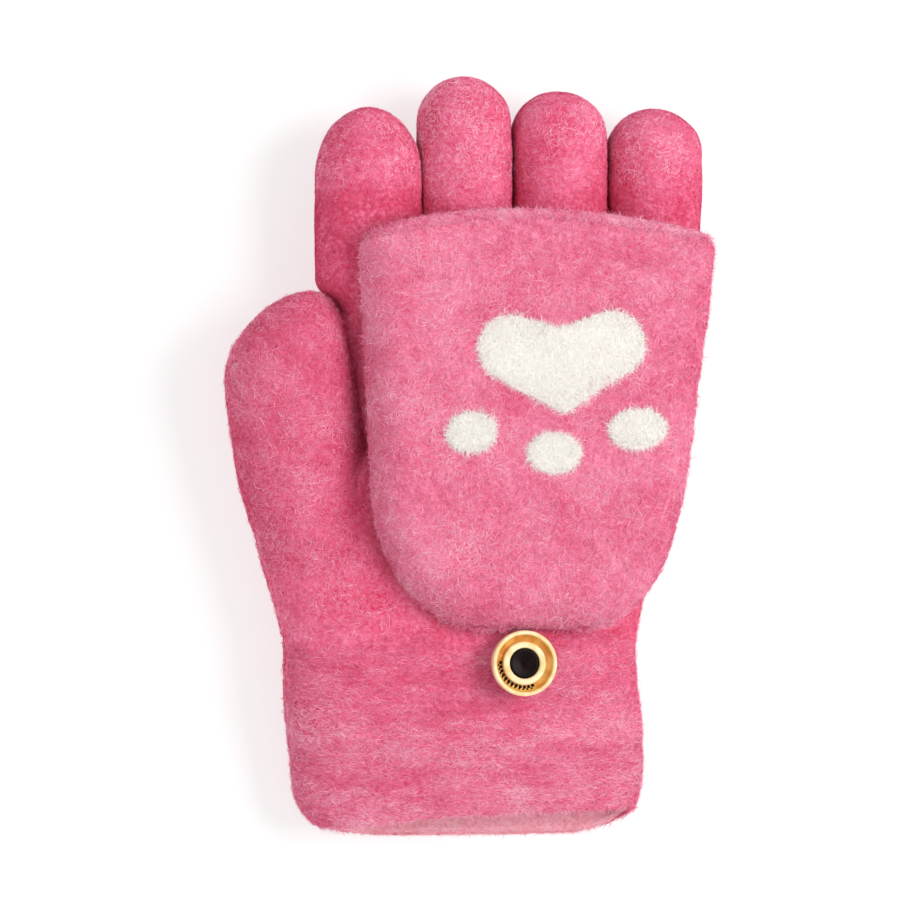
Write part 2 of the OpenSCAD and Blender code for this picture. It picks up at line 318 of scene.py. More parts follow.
def knit_material(name, dark, pale, course_mm=0.0):
    """Brushed knit: two tones mixed by soft noise, fine bumps, and faint courses if asked."""
    mat = principled(name, dark, 0.95, sheen=0.15, shine=0.1)
    tree = mat.node_tree
    add, link = tree.nodes.new, tree.links.new
    shader = tree.nodes["Principled BSDF"]
    place = add("ShaderNodeAttribute")
    place.attribute_name = "rest_mm"
    blotch = add("ShaderNodeTexNoise")
    blotch.inputs["Scale"].default_value = 0.09
    blotch.inputs["Detail"].default_value = 4.0
    link(place.outputs["Vector"], blotch.inputs["Vector"])
    fine = add("ShaderNodeTexNoise")
    fine.inputs["Scale"].default_value = 1.1
    fine.inputs["Detail"].default_value = 3.0
    link(place.outputs["Vector"], fine.inputs["Vector"])
    blend = add("ShaderNodeMath")
    blend.operation = "MULTIPLY_ADD"
    blend.inputs[1].default_value = 0.5
    link(blotch.outputs["Fac"], blend.inputs[0])
    half = add("ShaderNodeMath")
    half.operation = "MULTIPLY"
    half.inputs[1].default_value = 0.5
    link(fine.outputs["Fac"], half.inputs[0])
    link(half.outputs[0], blend.inputs[2])
    ramp = add("ShaderNodeValToRGB")
    ramp.color_ramp.elements[0].position = 0.36
    ramp.color_ramp.elements[0].color = (*dark, 1)
    ramp.color_ramp.elements[1].position = 0.66
    ramp.color_ramp.elements[1].color = (*pale, 1)
    link(blend.outputs[0], ramp.inputs["Fac"])
    link(ramp.outputs["Color"], shader.inputs["Base Color"])
    bump = add("ShaderNodeBump")
    bump.inputs["Strength"].default_value = 0.55
    bump.inputs["Distance"].default_value = 0.0005
    height = fine.outputs["Fac"]
    if course_mm:
        split = add("ShaderNodeSeparateXYZ")
        link(place.outputs["Vector"], split.inputs["Vector"])
        wave = add("ShaderNodeMath")
        wave.operation = "MULTIPLY"
        wave.inputs[1].default_value = 2 * math.pi / course_mm
        link(split.outputs["Y"], wave.inputs[0])
        sine = add("ShaderNodeMath")
        sine.operation = "SINE"
        link(wave.outputs[0], sine.inputs[0])
        both = add("ShaderNodeMath")
        both.operation = "MULTIPLY_ADD"
        both.inputs[1].default_value = 0.18
        link(sine.outputs[0], both.inputs[0])
        link(fine.outputs["Fac"], both.inputs[2])
        height = both.outputs[0]
    link(height, bump.inputs["Height"])
    link(bump.outputs["Normal"], shader.inputs["Normal"])
    return mat


def fibre_tones(prefix, colours):
    return [
        principled(f"{prefix}_{i}", linear(*c), 0.95, sheen=0.1, shine=0.1)
        for i, c in enumerate(colours)
    ]


HAND_DARK, HAND_PALE = linear(208, 52, 88), linear(240, 132, 168)
FLAP_DARK, FLAP_PALE = linear(216, 78, 116), linear(241, 150, 180)
knit_skin = knit_material("knit_pink", HAND_DARK, HAND_PALE, course_mm=1.9)
flap_skin = knit_material("knit_flap_pink", FLAP_DARK, FLAP_PALE)
lining_skin = knit_material("lining_pale", linear(246, 158, 178), linear(252, 196, 208))
white_skin = knit_material("knit_white", linear(250, 248, 244), linear(254, 253, 250))
hand_tones = fibre_tones(
    "fuzz_pink", [(222, 80, 118), (233, 108, 148), (241, 134, 170), (245, 158, 188), (248, 184, 206)]
)
flap_tones = fibre_tones(
    "fuzz_flap_pink", [(224, 94, 134), (234, 120, 158), (240, 144, 178), (244, 166, 194), (248, 190, 210)]
)
white_tones = fibre_tones("fuzz_white", [(246, 243, 237), (250, 247, 242), (253, 251, 246)])
# Painted light: the white fibres glow faintly, though they are no lamp, to keep the patches bright.
for tone in white_tones:
    glow = tone.node_tree.nodes["Principled BSDF"]
    glow.inputs["Emission Color"].default_value = (1, 0.98, 0.95, 1)
    glow.inputs["Emission Strength"].default_value = 0.02
lining_tones = fibre_tones("fuzz_lining", [(245, 156, 176), (250, 180, 196), (253, 206, 216)])


def resin_material(name, dark, pale, rough, coat, scale=420.0):
    """Moulded resin with soft cloudy streaks, or thread with finer ones."""
    mat = principled(name, pale, rough, coat=coat)
    tree = mat.node_tree
    add, link = tree.nodes.new, tree.links.new
    place = add("ShaderNodeTexCoord")
    cloud = add("ShaderNodeTexNoise")
    cloud.inputs["Scale"].default_value = scale
    cloud.inputs["Detail"].default_value = 3.0
    link(place.outputs["Object"], cloud.inputs["Vector"])
    ramp = add("ShaderNodeValToRGB")
    ramp.color_ramp.elements[0].position = 0.35
    ramp.color_ramp.elements[0].color = (*dark, 1)
    ramp.color_ramp.elements[1].position = 0.65
    ramp.color_ramp.elements[1].color = (*pale, 1)
    link(cloud.outputs["Fac"], ramp.inputs["Fac"])
    link(ramp.outputs["Color"], tree.nodes["Principled BSDF"].inputs["Base Color"])
    return mat


thread_mat = resin_material("thread_red", linear(140, 30, 60), linear(196, 64, 100), 0.85, 0.0, 1500.0)
elastic_mat = resin_material("elastic_pink", linear(186, 52, 90), linear(228, 98, 136), 0.8, 0.0, 1500.0)
cream_resin = resin_material("resin_cream", linear(238, 198, 130), linear(250, 230, 186), 0.35, 0.3)
amber_resin = resin_material("resin_amber", linear(206, 132, 44), linear(236, 184, 92), 0.35, 0.3)
dark_resin = resin_material("resin_dark", linear(10, 3, 3), linear(26, 10, 9), 0.42, 0.0)
dark_resin.node_tree.nodes["Principled BSDF"].inputs["Specular IOR Level"].default_value = 0.12


# ---------------------------------------------------------------- fibres
def fuzz(name, host, tones, count, weight, length=1.7, width=0.055, lift=0.2, flow=None, odds=None,
         tone_size=11.0, seed=1, root=0.1, stretch=(1, 1, 1), shade_and_tone=None):
    """Short bent fibres over a skin, as one mesh with a material slot for each tone.
    weight(points_mm, normals) gives each spot's share, flow a preferred direction, stretch
    the proportions of the pale and dark blotches, and the last function, of points_mm, shifts
    spots paler or darker: painted shade and painted highlights, as well as paler tones of the knit."""
    mesh = host.data
    mesh.calc_loop_triangles()
    tris = np.empty(len(mesh.loop_triangles) * 3, np.int64)
    mesh.loop_triangles.foreach_get("vertices", tris)
    tris = tris.reshape(-1, 3)
    co, no = points_of(mesh) / MM, normals_of(mesh)
    a, b, c = co[tris[:, 0]], co[tris[:, 1]], co[tris[:, 2]]
    area = np.linalg.norm(np.cross(b - a, c - a), axis=1) / 2
    face_no = no[tris].mean(axis=1)
    share = area * np.maximum(weight((a + b + c) / 3, face_no), 0)
    pick = rng.choice(len(tris), size=count, p=share / share.sum())
    u, v = rng.random(count), rng.random(count)
    over = u + v > 1
    u[over], v[over] = 1 - u[over], 1 - v[over]
    w = 1 - u - v
    spot = a[pick] * w[:, None] + b[pick] * u[:, None] + c[pick] * v[:, None]
    corner = tris[pick]
    normal = no[corner[:, 0]] * w[:, None] + no[corner[:, 1]] * u[:, None] + no[corner[:, 2]] * v[:, None]
    normal /= np.linalg.norm(normal, axis=1)[:, None] + 1e-9
    aim = rng.normal(size=(count, 3))
    if flow is not None:
        aim = aim * 0.55 + np.asarray(flow) * rng.choice([-1, 1], count)[:, None]
    aim -= normal * (aim * normal).sum(axis=1)[:, None]
    aim /= np.linalg.norm(aim, axis=1)[:, None] + 1e-9
    rise = np.abs(rng.normal(0, lift, count)) + 0.05
    first = aim + normal * rise[:, None]
    first /= np.linalg.norm(first, axis=1)[:, None]
    side = np.cross(normal, aim)
    turn = rng.normal(0, 0.55, count)[:, None]
    second = aim + side * turn + normal * (rise * rng.uniform(-0.7, 0.6, count))[:, None]
    second /= np.linalg.norm(second, axis=1)[:, None]
    long = np.clip(rng.normal(length, length * 0.35, count), length * 0.3, length * 2.2)[:, None]
    wide = (width * rng.uniform(0.6, 1.3, count))[:, None]
    roll = rng.uniform(-0.9, 0.9, count)[:, None]
    across = np.cross(first, normal) * np.cos(roll) + normal * np.sin(roll)
    across /= np.linalg.norm(across, axis=1)[:, None] + 1e-9
    base = spot - normal * root
    mid = base + first * long * 0.5
    tip = mid + second * long * 0.5
    foot, waist = across * wide, across * wide * 0.8
    verts = np.stack([base - foot, base + foot, mid + waist, mid - waist, tip], axis=1).reshape(-1, 3)
    start = np.arange(count)[:, None] * 5
    quads = start + np.array([[0, 1, 2, 3]])
    ends = start + np.array([[3, 2, 4]])
    out = bpy.data.meshes.new(name)
    out.vertices.add(count * 5)
    out.vertices.foreach_set("co", (verts * MM).astype(np.float32).ravel())
    loops = np.concatenate([quads, ends], axis=1).ravel()
    out.loops.add(count * 7)
    out.loops.foreach_set("vertex_index", loops.astype(np.int32))
    out.polygons.add(count * 2)
    starts = (np.arange(count)[:, None] * 7 + np.array([[0, 4]])).ravel()
    out.polygons.foreach_set("loop_start", starts.astype(np.int32))
    for tone in tones:
        out.materials.append(tone)
    pulled = spot / np.array(stretch)
    patch = field(pulled, tone_size, seed) * 0.9 + field(pulled, tone_size * 0.16, seed + 5, 2) * 1.1
    # Painted shade and highlights, and some paler tones of the knit, shift each fibre's tone here.
    if shade_and_tone is not None:
        patch += shade_and_tone(spot)
    odds = np.array(odds if odds is not None else [1.0] * len(tones))
    edges = np.cumsum(odds / odds.sum())
    draw = np.clip(rng.random(count) * 0.8 + 0.1 + patch * 0.36, 0, 0.999)
    tone_of = np.minimum(np.searchsorted(edges, draw), len(tones) - 1)
    out.polygons.foreach_set("material_index", np.repeat(tone_of, 2).astype(np.int32))
    out.update(calc_edges=True)
    obj = bpy.data.objects.new(name, out)
    bpy.context.scene.collection.objects.link(obj)
    return obj


def share_of(n):
    return max(50, int(n * (1.0)))


# ---------------------------------------------------------------- the knitted hand
RING_N = 96


def hand_ring(y, inset=0.0):
    """One ring of the cuff or hand, each point set back by its own share of the slant."""
    slant = MOUTH_SLANT * (1 - smooth(CUFF_Y, CUFF_Y + 20, y))
    out = []
    for i in range(RING_N):
        a = 2 * math.pi * i / RING_N
        at = y + slant * set_back(math.sin(a), math.cos(a))
        out.append((*ring_point(hand_section(at), a, CORNER, inset), at))
    return [(x, at, z) for x, z, at in out]


def wall_at(y):
    """Thickness of the knit, drawn thinner towards the mouth."""
    return mix(MOUTH_WALL, KNIT, smooth(CUFF_Y, CUFF_Y + 12, y))


def steps(a, b, n):
    return [mix(a, b, k / (n - 1)) for k in range(n)]


deep = [hand_ring(y, wall_at(y)) for y in steps(POCKET_Y, CUFF_Y + 0.4, 20)]
outer = [hand_ring(y) for y in steps(CUFF_Y + 0.2, CUFF_Y + 8, 14) + steps(CUFF_Y + 9.5, CROTCH_Y, 34)]
lip = [hand_ring(CUFF_Y - 0.2, MOUTH_WALL * 0.5)]
cuff_hand = skinned("cuff_hand", deep + lip + outer + [hand_ring(CROTCH_Y + 1.6, 2.2)])
palm = skinned(
    "palm_part",
    [ring(palm_section(y), y, RING_N, CORNER) for y in steps(CROTCH_Y - 5, ROOT_Y - 3, 20)]
    + [ring(palm_section(ROOT_Y), ROOT_Y - 1.2, RING_N, CORNER, 0.8)]
    + [ring(palm_section(ROOT_Y), ROOT_Y, RING_N, CORNER, 2.6)],
)
thumb_ys = [mix(CROTCH_Y, THUMB_TIP_Y, math.sin(math.pi / 2 * k / 31)) for k in range(32)]
thumb_rings = [ring(thumb_section(y), y, 48, FINGER_CORNER) for y in thumb_ys]
thumb_foot = [ring(thumb_section(CROTCH_Y), CROTCH_Y - 7, 48, FINGER_CORNER, 3.0)]
thumb = skinned("thumb_part", thumb_foot + thumb_rings)
# The web that fills the fold between thumb and palm
web_rings = []
for y in steps(CROTCH_Y - 9, CROTCH_Y + 22, 24):
    t = (y - CROTCH_Y + 9) / 31
    end = math.sqrt(1 - (2 * t - 1) ** 4) + 0.02
    web_section = (-20.2 - 1.6 * t, mix(9.0, 5.5, t) * end, 5.0, 5.0 + mix(16.8, 15.2, t) * end)
    web_rings.append(ring(web_section, y, 40, 0.9))
web = skinned("thumb_web", web_rings)
body = remeshed(joined("mitten_hand_knit", [cuff_hand, palm, thumb, web]), 0.6, 6)


def swell(obj, seed):
    """Slow swells and small lumps, as soft knit has when it's laid down."""
    co = points_of(obj.data) / MM
    amount = 0.45 * field(co, 26.0, seed) + 0.2 * field(co, 7.0, seed + 3)
    courses = np.sin(co[:, 1] * 2 * math.pi / 1.9) * 0.07 * np.clip((-30 - co[:, 1]) / 12, 0, 1)
    flat = np.clip(co[:, 2] / 2.0, 0, 1)
    push_out(obj, (amount + courses) * flat)


swell(body, 2)
body.data.materials.append(knit_skin)
body.data.materials.append(lining_skin)
for face in body.data.polygons:
    spot = face.center / MM
    if spot.y < CUFF_Y + 0.9 and spot.z < 4.0:
        face.material_index = 1
store_rest(body)
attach(body, "hand")
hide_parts("cuff_knit", "hand_knit", "thumb_knit")


def in_pocket(p, n):
    """Spots on the wall inside the cuff, whose normals face the middle of the hand."""
    mid_z = np.array([hand_top(y) / 2 for y in p[:, 1]])
    inward = n[:, 0] * (p[:, 0] + 1.5) / 40 + n[:, 2] * (p[:, 2] - mid_z) / 8
    return (p[:, 1] < POCKET_Y + 3) & (inward < 0)


def outside(p, n):
    return ~in_pocket(p, n)


def past_wrist(p):
    """True on the hand's side of an uneven line across the wrist."""
    return p[:, 1] + 6.0 * field(p, 5.0, 9) >= WRIST_Y


def cuff_only(p, n):
    return outside(p, n) & ~past_wrist(p)


def thumb_only(p):
    return (p[:, 1] > CROTCH_Y - 6) & (p[:, 0] < -18.4 - 0.2 * (p[:, 1] - CROTCH_Y))


def under_flap(p):
    return (p[:, 2] > 18) & (p[:, 1] > -30) & (p[:, 0] > -17) & (p[:, 0] < 38)


def top_weight(p, n):
    return np.where(n[:, 2] > -0.25, 1.0, 0.0) * np.where(under_flap(p), 0.25, 1.0)


def near_mouth(p):
    return (p[:, 1] < CUFF_Y + 1.3) & (p[:, 2] < 4.5)


def cuff_low_weight(p, n):
    return cuff_only(p, n) * (n[:, 2] > -0.25) * (p[:, 1] < -58) * np.where(near_mouth(p), 0.1, 1.0)


def cuff_high_weight(p, n):
    return cuff_only(p, n) * (n[:, 2] > -0.25) * (p[:, 1] >= -58) * 1.0


def cuff_palm_weight(p, n):
    return cuff_only(p, n) * (n[:, 2] <= -0.25) * np.where(near_mouth(p), 0.1, 1.0)


def rim_weight(p, n):
    return near_mouth(p) * 1.0


def hand_back_weight(p, n):
    return past_wrist(p) * ~thumb_only(p) * top_weight(p, n)


def hand_palm_weight(p, n):
    return past_wrist(p) * ~thumb_only(p) * (n[:, 2] <= -0.25) * 1.0


def thumb_weight(p, n):
    return thumb_only(p) * np.where(n[:, 2] > -0.25, 1.0, 0.5)


HAND_ODDS = [0.9, 1.7, 1.9, 1.1, 0.45]


def flap_shade_and_cuff_tone(p):
    """Painted shade: deeper red in the folds beside the flap and under its edge, where shade falls; and a
    little paler on the cuff.
    """
    x0 = np.array([flap_edges(y)[0] for y in np.clip(p[:, 1], FLAP_TIP_Y, LIP_Y)])
    beside = np.clip(1 - np.abs(p[:, 0] - x0 + 1.5) / 5.0, 0, 1) * (p[:, 1] > FLAP_TIP_Y + 2)
    below = np.clip(1 - np.abs(p[:, 1] - FLAP_TIP_Y + 1.0) / 3.5, 0, 1)
    below = below * (np.abs(p[:, 0] - FLAP_MID_X) < 22)
    cuff = np.clip((WRIST_Y - 6 - p[:, 1]) / 10, 0, 1)
    return 0.4 * cuff - 1.3 * np.maximum(beside, below * 0.6)


ALONG_COURSES = (3.2, 0.8, 1.0)
for name, count, weight, flow, stretch, seed in (
    ("fuzz_cuff_low", 46000, cuff_low_weight, (1.0, 0, 0), ALONG_COURSES, 11),
    ("fuzz_cuff_high", 46000, cuff_high_weight, (1.0, 0, 0), ALONG_COURSES, 12),
    ("fuzz_cuff_palm", 24000, cuff_palm_weight, (1.0, 0, 0), ALONG_COURSES, 13),
    ("fuzz_hand_back", 46000, hand_back_weight, None, (1, 1, 1), 14),
    ("fuzz_hand_palm", 30000, hand_palm_weight, None, (1, 1, 1), 15),
    ("fuzz_thumb", 60000, thumb_weight, None, (1, 1, 1), 16),
):
    piece = fuzz(
        name,
        body,
        hand_tones,
        share_of(count),
        weight,
        flow=flow,
        odds=HAND_ODDS,
        seed=seed,
        stretch=stretch,
        # painted shade beside and under the flap, and a paler cuff
        shade_and_tone=flap_shade_and_cuff_tone,
    )
    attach(piece, "hand")
rim_fuzz = fuzz(
    "fuzz_cuff_rim", body, lining_tones, share_of(5000), rim_weight, length=1.1, flow=(1.2, 0, 0), seed=17
)
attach(rim_fuzz, "hand")

# ---------------------------------------------------------------- lining and hem in the cuff's mouth
lining_rings = [hand_ring(y, wall_at(y) + 0.05) for y in steps(CUFF_Y + 0.5, POCKET_Y + 1.0, 24)]
lining_inner = [hand_ring(y, wall_at(y) + LINING * 0.8) for y in steps(POCKET_Y + 1.0, CUFF_Y + 0.7, 24)]
lining = skinned("cuff_lining", lining_rings + lining_inner, closed=True)
lining.data.materials.append(lining_skin)
store_rest(lining)
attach(lining, "hand")
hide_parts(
    "palm_lining",
    "thumb_lining",
    "index_finger_lining",
    "middle_finger_lining",
    "ring_finger_lining",
    "little_finger_lining",
)
hem_out = [hand_ring(y, wall_at(y) + LINING * 0.7) for y in steps(CUFF_Y + 0.9, CUFF_Y + 8, 9)]
hem_in = [hand_ring(y, wall_at(y) + LINING * 0.8 + 0.5) for y in steps(CUFF_Y + 8, CUFF_Y + 1.1, 9)]
cuff_hem = skinned("cuff_turned_hem", hem_out + hem_in, closed=True)
cuff_hem.data.materials.append(lining_skin)
store_rest(cuff_hem)
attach(cuff_hem, "hand")
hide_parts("cuff_hem")


def everywhere(p, n):
    return np.ones(len(p))


def facing_mouth(p, n):
    mid_z = np.array([hand_top(y) / 2 for y in p[:, 1]])
    inward = n[:, 0] * (p[:, 0] + 1.5) / 40 + n[:, 2] * (p[:, 2] - mid_z) / 8
    return (inward < 0) * np.where(p[:, 1] < -55, 1.0, 0.15)


for name, host, count, weight in (
    ("fuzz_lining", lining, 22000, facing_mouth),
    ("fuzz_cuff_hem", cuff_hem, 16000, everywhere),
):
    piece = fuzz(name, host, lining_tones, share_of(count), weight, length=1.1, seed=21)
    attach(piece, "hand")

# ---------------------------------------------------------------- fingers
for index, (name, f) in enumerate(FINGERS.items()):
    ys = [mix(ROOT_Y - 5, f[3], math.sin(math.pi / 2 * k / 45)) for k in range(46)]
    tucked = [3.0 * clamp01((ROOT_Y + 0.5 - y) / 5) for y in ys]
    finger = skinned(
        f"{name}_finger",
        [ring(finger_section(f, y), y, 56, FINGER_CORNER, tuck) for y, tuck in zip(ys, tucked)],
    )
    soften = finger.modifiers.new("soften", "SMOOTH")
    soften.factor = 0.5
    soften.iterations = 2
    apply_modifiers(finger)
    co = points_of(finger.data) / MM
    push_out(finger, 0.35 * field(co, 15.0, 30 + index) + 0.15 * field(co, 5.0, 40 + index))
    finger.data.polygons.foreach_set("use_smooth", [True] * len(finger.data.polygons))
    finger.data.materials.append(knit_skin)
    store_rest(finger)
    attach(finger, "hand")
    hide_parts(f"{name}_finger_knit")

    def finger_shade_and_highlight(p, tip_y=f[3], mid_x=f[1], little=name == "little", palest=name == "middle"):
        """Painted shadow: redder knit by the flap's mouth, where the hem's shade falls. A painted
        highlight: a paler spot on the little finger's tip. The middle finger is a little paler in tone.
        """
        # Painted shadow of the hem over the finger roots; the middle finger paler in tone.
        deep = (0.7 if palest else 0.0) - 2.4 * np.clip((57.0 - p[:, 1]) / 7, 0, 1)
        # A painted highlight on the little finger's tip.
        if little:
            deep += 1.5 * np.exp(-((p[:, 1] - tip_y + 7) ** 2) / 20 - ((p[:, 0] - mid_x - 1) ** 2) / 12)
        return deep

    def finger_weight(p, n, root_y=ROOT_Y):
        return np.where(p[:, 1] > root_y - 1, 1.0, 0.0) * np.where(
            (n[:, 2] > -0.25) & (p[:, 1] > 44), 1.0, 0.45
        )

    piece = fuzz(
        f"fuzz_{name}_finger",
        finger,
        hand_tones,
        share_of(30000),
        finger_weight,
        odds=HAND_ODDS,
        seed=50 + index,
        # painted shadow by the flap's mouth and a painted highlight on the little finger
        shade_and_tone=finger_shade_and_highlight,
    )
    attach(piece, "hand")
    for soft in (finger, piece):
        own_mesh(soft)


# ---------------------------------------------------------------- the flap
MOUTH_CORNER = 3.2
FLAP_NX, FLAP_NY = 120, 130


def corner_cut(depth):
    """How far the mouth's rounded corner is cut in, this far into the corner."""
    return MOUTH_CORNER * (1 - math.sqrt(1 - clamp01(depth / MOUTH_CORNER) ** 2))


def mouth_bow(x):
    """How far the mouth's edge reaches beyond its corners, highest left of the middle."""
    u = clamp01((x - flap_left(LIP_Y)) / (flap_right(LIP_Y) - flap_left(LIP_Y)))
    return 5.6 * math.sin(math.pi * u ** 0.86) ** 0.8


outline = []
for k in range(200):
    y = mix(FLAP_TIP_Y, LIP_Y + 30, (k / 199) ** 1.7)
    outline.append((y, *flap_edges(y)))
left_line = np.array([(x0, y) for y, x0, x1 in outline])
right_line = np.array([(x1, y) for y, x0, x1 in outline])
tip_line = np.array([(mix(outline[0][1], outline[0][2], k / 40), FLAP_TIP_Y) for k in range(41)])
edge_points = np.concatenate([left_line, tip_line, right_line])


def edge_distance(points):
    gap = np.empty(len(points))
    for k in range(0, len(points), 2000):
        block = points[k : k + 2000, None, :] - edge_points[None]
        gap[k : k + 2000] = np.sqrt((block**2).sum(axis=2)).min(axis=1)
    return gap


def dome(distance, radius):
    t = np.clip(distance / radius, 0, 1)
    return np.sqrt(np.clip(1 - (1 - t) ** 2, 0, 1))


def flap_grid(inset):
    """Points over the flap's plan, row by row from the tip to the mouth."""
    rows = []
    for j in range(FLAP_NY + 1):
        y_low = mix(FLAP_TIP_Y + inset, LIP_Y, (j / FLAP_NY) ** 1.35)
        x0, x1 = flap_edges(max(y_low, FLAP_TIP_Y + 0.01))
        for i in range(FLAP_NX + 1):
            s = -math.cos(math.pi * i / FLAP_NX)
            u = mix(i / FLAP_NX, (s + 1) / 2, 0.6)
            corner = corner_cut(y_low - LIP_Y + MOUTH_CORNER)
            x = mix(x0 + inset + corner, x1 - inset - corner, u)
            rows.append((x, y_low + mouth_bow(x) * clamp01((y_low - 8) / (LIP_Y - 8)) ** 1.5))
    return np.array(rows)


def sheet_faces(nx, ny, base, flip):
    faces = []
    for j in range(ny):
        for i in range(nx):
            a = base + j * (nx + 1) + i
            quad = (a, a + 1, a + nx + 2, a + nx + 1)
            faces.append(quad[::-1] if flip else quad)
    return faces


def closed_sheet(name, top, low, nx, ny):
    """Two grids of points joined round their edges into one closed solid."""
    n = (nx + 1) * (ny + 1)
    faces = sheet_faces(nx, ny, 0, False) + sheet_faces(nx, ny, n, True)
    rim = (
        [i for i in range(nx)]
        + [j * (nx + 1) + nx for j in range(ny)]
        + [ny * (nx + 1) + i for i in range(nx, 0, -1)]
        + [j * (nx + 1) for j in range(ny, 0, -1)]
    )
    for k in range(len(rim)):
        a, b = rim[k], rim[(k + 1) % len(rim)]
        faces.append((b, a, a + n, b + n))
    return new_mesh(name, np.concatenate([top, low]).tolist(), faces)


plan = flap_grid(0.0)
gap = edge_distance(plan)
high = FLAP_TOP_Z - FLAP_LOW_Z
puff = 0.5 * np.sin(np.clip((plan[:, 1] + 34) / 80, 0, 1) * math.pi)
sag = 1.5 * np.clip((plan[:, 1] - HINGE_Y) / 18, 0, 1) ** 1.6
upper_z = FLAP_LOW_Z + (high - 0.5 + puff - sag) * dome(gap, FLAP_EDGE)
wall = 2.1
lower_z = np.where(
    gap < wall, FLAP_LOW_Z, FLAP_LOW_Z + (high - wall - 0.4 - sag) * dome(gap - wall, FLAP_EDGE - wall)
)
upper = np.column_stack([plan, upper_z])
lower = np.column_stack([plan, np.minimum(lower_z, upper_z - 0.05)])
pouch = closed_sheet("flap_pouch_knit", upper, lower, FLAP_NX, FLAP_NY)
co = points_of(pouch.data) / MM
lumps = 0.32 * field(co, 17.0, 61) + 0.14 * field(co, 5.5, 62)
push_out(pouch, lumps * np.clip((co[:, 2] - FLAP_LOW_Z) / 2, 0, 1))
pouch.data.materials.append(flap_skin)
store_rest(pouch)
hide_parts("flap_pouch")


def top_only(p, n):
    return np.where(n[:, 2] > -0.15, 1.0, 0.0)


FLAP_ODDS = [0.7, 1.3, 1.7, 1.3, 0.65]
POUCH_SPLIT_Y = 8.0


def pouch_low_weight(p, n):
    return top_only(p, n) * (p[:, 1] < POUCH_SPLIT_Y)


def pouch_high_weight(p, n):
    return top_only(p, n) * (p[:, 1] >= POUCH_SPLIT_Y)


pouch_fuzz = []
for name, weight, seed in (
    ("fuzz_pouch_low", pouch_low_weight, 63),
    ("fuzz_pouch_high", pouch_high_weight, 60),
):
    piece = fuzz(name, pouch, flap_tones, share_of(62000), weight, odds=FLAP_ODDS, length=1.6, seed=seed)
    pouch_fuzz.append(piece)

# The rolled hem along the mouth
hem_path = []
for k in range(91):
    u = k / 90
    x = mix(flap_left(LIP_Y) + 1.6, flap_right(LIP_Y) - 1.6, u)
    edge = min(x - flap_left(LIP_Y), flap_right(LIP_Y) - x)
    y = LIP_Y + mouth_bow(x) - corner_cut(MOUTH_CORNER - edge) - 0.4
    z = FLAP_LOW_Z + (high - 2.0) * float(dome(np.array([edge]), FLAP_EDGE)[0]) - 0.9
    hem_path.append(Vector((x, y, z)))


def swept(name, path, radius, squeeze):
    """A round bead along a path, drawn in at its two ends."""
    n = 14
    turns = [2 * math.pi * i / n for i in range(n)]
    rings = []
    for k, p in enumerate(path):
        ahead = (path[min(k + 1, len(path) - 1)] - path[max(k - 1, 0)]).normalized()
        side = ahead.cross(Vector((0, 0, 1))).normalized()
        up = side.cross(ahead)
        r = radius * math.sqrt(max(0.04, 1 - (abs(2 * k / (len(path) - 1) - 1)) ** 16))
        rings.append(
            [
                tuple(p + side * (math.cos(a) * r) + up * (math.sin(a) * r * squeeze))
                for a in turns
            ]
        )
    return skinned(name, rings)


hem = swept("flap_mouth_hem_roll", hem_path, 1.25, squeeze=0.95)
hem.data.materials.append(flap_skin)
store_rest(hem)
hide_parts("flap_mouth_hem")
HEM_ODDS = [0.4, 1, 1.6, 1.5, 0.9]
hem_fuzz = fuzz(
    "fuzz_flap_mouth_hem", hem, flap_tones, share_of(15000), everywhere, odds=HEM_ODDS,
    length=1.5, seed=64, flow=(0.9, 0, 0),
)
for soft in (pouch, *pouch_fuzz, hem, hem_fuzz):
    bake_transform(soft)


# The back panel that the pouch is sewn to, turning on the seam: its edges dip over the pouch's rim
PANEL_INSET = 0.7
PANEL_N = 60


def panel_grid():
    rows = []
    for j in range(PANEL_N + 1):
        y = mix(FLAP_TIP_Y + PANEL_INSET, HINGE_Y + 0.6, (j / PANEL_N) ** 1.2)
        x0, x1 = flap_edges(y)
        for i in range(PANEL_N + 1):
            s = mix(i / PANEL_N, (1 - math.cos(math.pi * i / PANEL_N)) / 2, 0.5)
            rows.append((mix(x0 + PANEL_INSET, x1 - PANEL_INSET, s), y))
    return np.array(rows)


plan = panel_grid()
row, column = np.divmod(np.arange(len(plan)), PANEL_N + 1)
margin = np.minimum(np.minimum(column, PANEL_N - column) * 1.0, row)
half_t = 0.75 * dome(margin, 3.0)
lowered = (1 - np.clip((edge_distance(plan) - 1.5) / 3.0, 0, 1)) * (plan[:, 1] < HINGE_Y - 1)
middle_z = HINGE_Z - 0.1 - 1.15 * lowered
panel = closed_sheet(
    "flap_back_knit",
    np.column_stack([plan, middle_z + half_t + 0.02]),
    np.column_stack([plan, middle_z - half_t - 0.02]),
    PANEL_N,
    PANEL_N,
)
panel.data.materials.append(flap_skin)
store_rest(panel)
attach(panel, "flap_back")
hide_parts("flap_back_panel")


def under_panel(p, n):
    return np.where(n[:, 2] < 0, 1.0, 0.05)


panel_fuzz = fuzz(
    "fuzz_flap_back", panel, flap_tones, share_of(30000), under_panel, odds=FLAP_ODDS, seed=65,
    length=1.5, lift=0.12,
)
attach(panel_fuzz, "flap_back")

# The seam bead between hand and panel
seam_path = [
    Vector((x, HINGE_Y + 0.1, HAND_TOP + 1.15 - 0.9 * abs((x - FLAP_MID_X) / 32) ** 3))
    for x in steps(-19.0, 42.0, 50)
]
seam = swept("hinge_seam_roll", seam_path, 1.7, squeeze=0.9)
seam.data.materials.append(knit_skin)
store_rest(seam)
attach(seam, "hand")
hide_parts("hinge_seam_cord", "seam_tack_left", "seam_tack_right")
seam_fuzz = fuzz(
    "fuzz_hinge_seam", seam, hand_tones, share_of(6000), everywhere, odds=HAND_ODDS, length=1.2, seed=66
)
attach(seam_fuzz, "hand")

# ---------------------------------------------------------------- the paw print
HEART = (15.3, 22.7)
HEART_TURN = math.radians(2.5)


